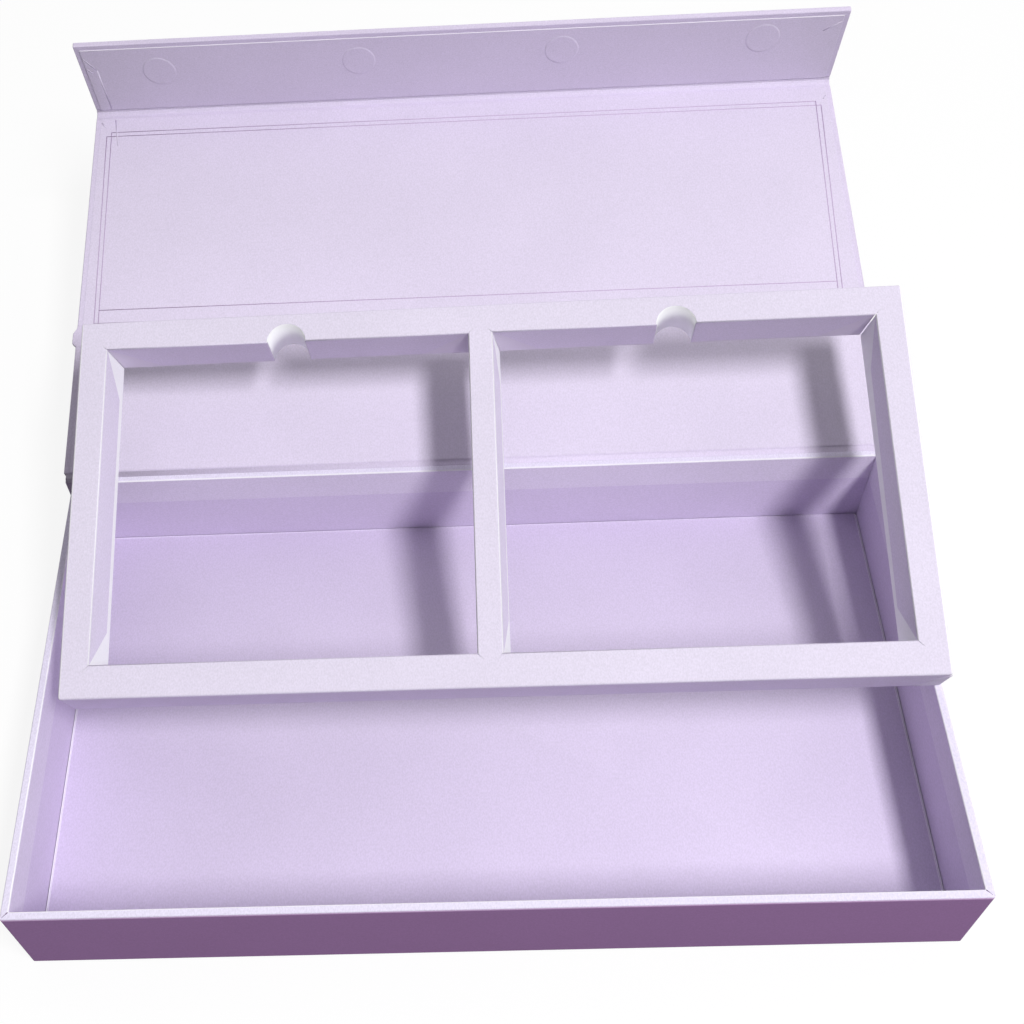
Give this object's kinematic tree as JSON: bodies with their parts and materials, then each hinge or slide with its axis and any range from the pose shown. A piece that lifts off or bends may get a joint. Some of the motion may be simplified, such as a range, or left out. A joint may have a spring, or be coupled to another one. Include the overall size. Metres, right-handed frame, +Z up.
{
  "type": "magnetic flip-top box",
  "caption": "Shallow paper-covered gift box with a two-panel hinged lid, a magnetic front flap and a loose window insert over the tray.",
  "frame": {"origin": "middle of the tray's underside", "axes": "+Z up, -Y towards the front wall where the flap closes, +X to the right seen from the front; the lid stands open towards +Y"},
  "size_m": [0.359, 0.3959, 0.1327],
  "materials": {
    "wrap_paper": "matt lilac cover paper",
    "lining_paper": "matt pale lilac paper",
    "grey_board": "solid grey board",
    "white_card": "smooth white card",
    "magnet": "nickel-plated disc"
  },
  "bodies": {
    "tray": {"tray_base_board": "grey_board", "tray_front_board": "grey_board", "tray_back_board": "grey_board", "tray_left_board": "grey_board", "tray_right_board": "grey_board", "tray_base_paper": "wrap_paper", "tray_wrap": "wrap_paper", "tray_wall_lining": "lining_paper", "tray_floor_card": "white_card", "tray_floor_paper": "lining_paper", "wall_magnet_1": "magnet", "wall_magnet_2": "magnet", "wall_magnet_3": "magnet", "wall_magnet_4": "magnet", "spine_board": "grey_board", "spine_wrap": "wrap_paper", "rear_hinge": "wrap_paper"},
    "lid_rear": {"lid_rear_board": "grey_board", "lid_rear_wrap": "wrap_paper", "lid_rear_lining": "lining_paper"},
    "lid_front": {"lid_front_board": "grey_board", "lid_front_wrap": "wrap_paper", "lid_front_lining": "lining_paper", "flap_hinge": "wrap_paper"},
    "flap": {"flap_board": "grey_board", "flap_wrap": "wrap_paper", "flap_lining": "lining_paper", "flap_magnet_1": "magnet", "flap_magnet_2": "magnet", "flap_magnet_3": "magnet", "flap_magnet_4": "magnet"},
    "insert": {"insert_board": "white_card", "insert_paper": "lining_paper"}
  },
  "joints": [
    {"name": "lid_hinge", "type": "hinge", "parent": "tray", "child": "lid_rear", "pos_m": [0, 0.0998, 0.0463], "axis": [1, 0, 0], "range_deg": [0, 168.1]},
    {"name": "lid_fold", "type": "hinge", "parent": "lid_rear", "child": "lid_front", "pos_m": [0, 0.16969, 0.05799], "axis": [-1, 0, 0], "range_deg": [0, 37]},
    {"name": "flap_crease", "type": "hinge", "parent": "lid_front", "child": "flap", "pos_m": [0, 0.29597, 0.08606], "axis": [-1, 0, 0], "range_deg": [0, 90]},
    {"name": "insert_lift", "type": "slide", "parent": "tray", "child": "insert", "axis": [0, -0.9781, 0.2079], "range_m": [0, 0.316]}
  ],
  "couplings": [
    {"joint": "lid_hinge", "follows": "insert_lift", "rad_per_m": 9.2844}
  ]
}
